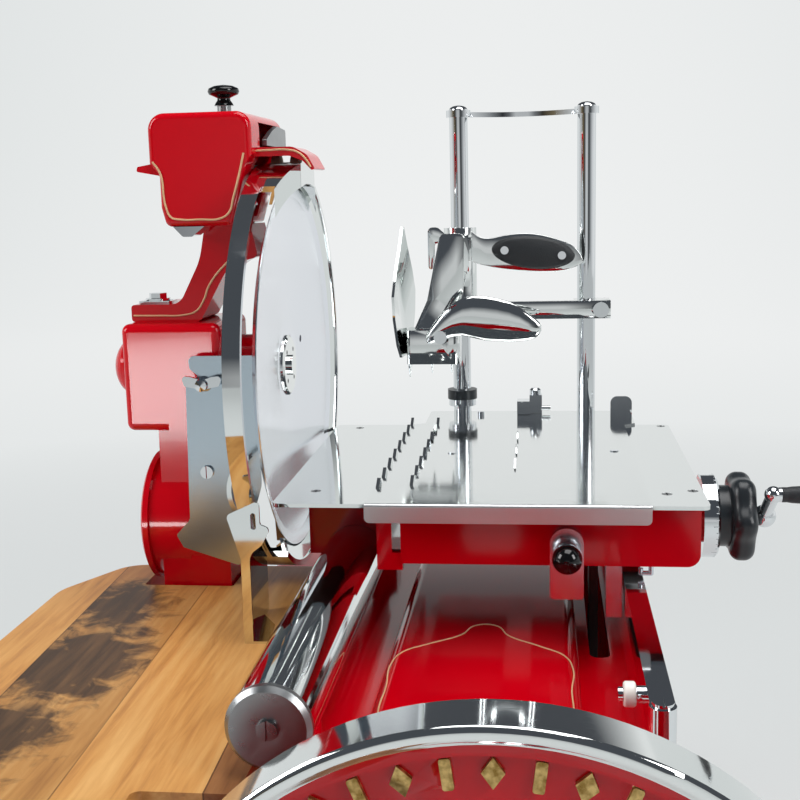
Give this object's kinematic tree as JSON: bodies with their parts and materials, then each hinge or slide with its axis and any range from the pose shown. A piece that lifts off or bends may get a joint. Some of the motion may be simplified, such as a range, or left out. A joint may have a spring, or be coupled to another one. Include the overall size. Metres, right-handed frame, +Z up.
{
  "type": "hand cranked meat slicer",
  "caption": "Hand cranked flywheel meat slicer: dished round blade in a ring guard, reciprocating carriage with screw fed table, food clamp, blade sharpener and wooden slice board.",
  "frame": {"origin": "centre of the four base bolts at the level that the feet stand on", "axes": "+Z up along the base bolts, +Y along the carriage's travel away from the flywheel, +X from the blade to the feed crank"},
  "size_m": [0.7088, 0.8712, 0.7735],
  "materials": {
    "red_enamel": "gloss enamel",
    "polished_steel": "mirror polished",
    "chrome": "plated",
    "brushed_steel": "brushed",
    "blade_steel": "ground and polished",
    "machine_steel": "machined, oiled",
    "cast_iron": "as cast, machined where it runs",
    "bronze": "machined",
    "aluminium": "satin",
    "black_plastic": "satin black",
    "white_nylon": "satin white",
    "grindstone": "fine grit",
    "wood": "oiled"
  },
  "bodies": {
    "base": {"base_casting": "red_enamel", "shaft_bushes": "bronze", "blade_column": "red_enamel", "case_covers": "red_enamel", "drive_chain": "machine_steel", "ring_guard": "polished_steel", "guard_bracket": "polished_steel", "deflector_plate": "brushed_steel", "tube_rail": "polished_steel", "tube_end_caps": "polished_steel", "steel_fixings": "chrome", "side_rail": "brushed_steel", "rail_pillars": "chrome", "slice_board": "wood", "sharpener_arm": "red_enamel", "sharpener_cover": "red_enamel"},
    "flywheel": {"flywheel": "red_enamel", "flywheel_fixings": "chrome", "flywheel_shaft": "machine_steel", "bevel_pinion": "cast_iron"},
    "flywheel_grip": {"flywheel_grip": "wood"},
    "cross_drive": {"cross_shaft": "machine_steel", "crank_gear": "cast_iron", "crank_disc": "cast_iron", "drive_sprocket": "machine_steel"},
    "idler": {"idler_sprocket": "machine_steel"},
    "blade": {"blade": "blade_steel", "blade_hub_plate": "polished_steel", "blade_shaft": "machine_steel", "blade_sprocket": "machine_steel"},
    "wing_bolt": {"wing_bolt": "chrome"},
    "stop_roller": {"stop_roller": "white_nylon"},
    "lever": {"slotted_lever": "cast_iron"},
    "carriage": {"carriage_body": "red_enamel", "lower_table": "polished_steel", "carriage_fittings": "aluminium", "scale_ring": "chrome", "carriage_screws": "machine_steel"},
    "carriage_roller": {"carriage_roller": "machine_steel"},
    "plunger": {"release_plunger": "chrome"},
    "table": {"upper_table": "polished_steel", "food_spikes": "polished_steel", "posts": "chrome", "top_bar": "chrome", "table_fittings": "chrome", "post_bracket": "red_enamel"},
    "feed_screw": {"lead_screw": "machine_steel", "feed_crank": "chrome"},
    "crank_grip": {"crank_grip": "black_plastic"},
    "knob": {"index_knob": "black_plastic"},
    "clamp": {"clamp_frame": "polished_steel", "pusher_leaf": "polished_steel", "clamp_handle": "polished_steel", "handle_scales": "black_plastic", "clamp_screws": "chrome"},
    "spoon": {"spoon_lever": "polished_steel"},
    "side_clamp": {"side_clamp": "chrome"},
    "stone_slide": {"stone_carrier": "machine_steel"},
    "left_stone": {"left_stone": "grindstone"},
    "right_stone": {"right_stone": "grindstone"}
  },
  "joints": [
    {"name": "flywheel_spin", "type": "hinge", "parent": "base", "child": "flywheel", "pos_m": [0.071, 0, 0.217], "axis": [0, 1, 0], "continuous": true},
    {"name": "flywheel_grip_spin", "type": "hinge", "parent": "flywheel", "child": "flywheel_grip", "pos_m": [0.0197, -0.4, 0.07605], "axis": [0, 1, 0], "continuous": true},
    {"name": "cross_spin", "type": "hinge", "parent": "base", "child": "cross_drive", "pos_m": [0, 0.126, 0.217], "axis": [1, 0, 0], "continuous": true},
    {"name": "idler_spin", "type": "hinge", "parent": "base", "child": "idler", "pos_m": [-0.226, 0.13664, 0.39], "axis": [1, 0, 0], "continuous": true},
    {"name": "blade_spin", "type": "hinge", "parent": "base", "child": "blade", "pos_m": [-0.121, 0.126, 0.528], "axis": [1, 0, 0], "continuous": true},
    {"name": "wing_turn", "type": "hinge", "parent": "base", "child": "wing_bolt", "pos_m": [-0.191, 0.066, 0.521], "axis": [0, 1, 0], "range_deg": [-90, 90]},
    {"name": "stop_roller_spin", "type": "hinge", "parent": "base", "child": "stop_roller", "pos_m": [0.1488, -0.203, 0.368], "axis": [1, 0, 0], "continuous": true},
    {"name": "lever_swing", "type": "hinge", "parent": "base", "child": "lever", "pos_m": [0.14, 0.126, 0.04], "axis": [1, 0, 0], "range_deg": [-25.05, 25.05]},
    {"name": "carriage_slide", "type": "slide", "parent": "base", "child": "carriage", "axis": [0, 1, 0], "range_m": [-0.15, 0.15]},
    {"name": "carriage_roller_spin", "type": "hinge", "parent": "carriage", "child": "carriage_roller", "pos_m": [0.1655, 0.13, 0.3874], "axis": [1, 0, 0], "range_deg": [-955, 955]},
    {"name": "release_pull", "type": "slide", "parent": "carriage", "child": "plunger", "axis": [0, -1, 0], "range_m": [0, 0.008], "stiffness_N_per_m": 700, "springref_m": -0.002},
    {"name": "table_feed", "type": "slide", "parent": "carriage", "child": "table", "axis": [1, 0, 0], "range_m": [-0.06, 0.034]},
    {"name": "feed_screw_turn", "type": "hinge", "parent": "carriage", "child": "feed_screw", "pos_m": [0.2, 0.056, 0.411], "axis": [1, 0, 0], "range_deg": [-4330, 2455]},
    {"name": "crank_grip_spin", "type": "hinge", "parent": "feed_screw", "child": "crank_grip", "pos_m": [0.3, 0.03082, 0.43531], "axis": [1, 0, 0], "continuous": true},
    {"name": "knob_turn", "type": "hinge", "parent": "carriage", "child": "knob", "pos_m": [0.25, 0.056, 0.411], "axis": [1, 0, 0], "range_deg": [0, 300]},
    {"name": "clamp_slide", "type": "slide", "parent": "table", "child": "clamp", "axis": [0, 0, 1], "range_m": [-0.045, 0.1]},
    {"name": "spoon_press", "type": "hinge", "parent": "clamp", "child": "spoon", "pos_m": [-0.004, 0.253, 0.536], "axis": [0, 1, 0], "range_deg": [0, 20], "stiffness_Nm_per_rad": 1.2, "springref_deg": -8.59},
    {"name": "side_clamp_slide", "type": "slide", "parent": "table", "child": "side_clamp", "axis": [1, 0, 0], "range_m": [-0.03, 0.018]},
    {"name": "stones_press", "type": "slide", "parent": "base", "child": "stone_slide", "axis": [0, 0, 1], "range_m": [-0.008, 0], "stiffness_N_per_m": 500, "springref_m": 0.006},
    {"name": "left_stone_spin", "type": "hinge", "parent": "stone_slide", "child": "left_stone", "pos_m": [-0.133, 0.126, 0.701], "axis": [1, 0, 0], "continuous": true},
    {"name": "right_stone_spin", "type": "hinge", "parent": "stone_slide", "child": "right_stone", "pos_m": [-0.116, 0.126, 0.701], "axis": [1, 0, 0], "continuous": true}
  ],
  "couplings": [
    {"joint": "cross_spin", "follows": "flywheel_spin", "ratio": -1},
    {"joint": "blade_spin", "follows": "flywheel_spin", "ratio": -2},
    {"joint": "idler_spin", "follows": "flywheel_spin", "ratio": -2.2222},
    {"joint": "lever_swing", "follows": "carriage_slide", "rad_per_m": -2.9083},
    {"joint": "carriage_roller_spin", "follows": "carriage_slide", "rad_per_m": -111.11},
    {"joint": "feed_screw_turn", "follows": "table_feed", "rad_per_m": 1256.6}
  ]
}
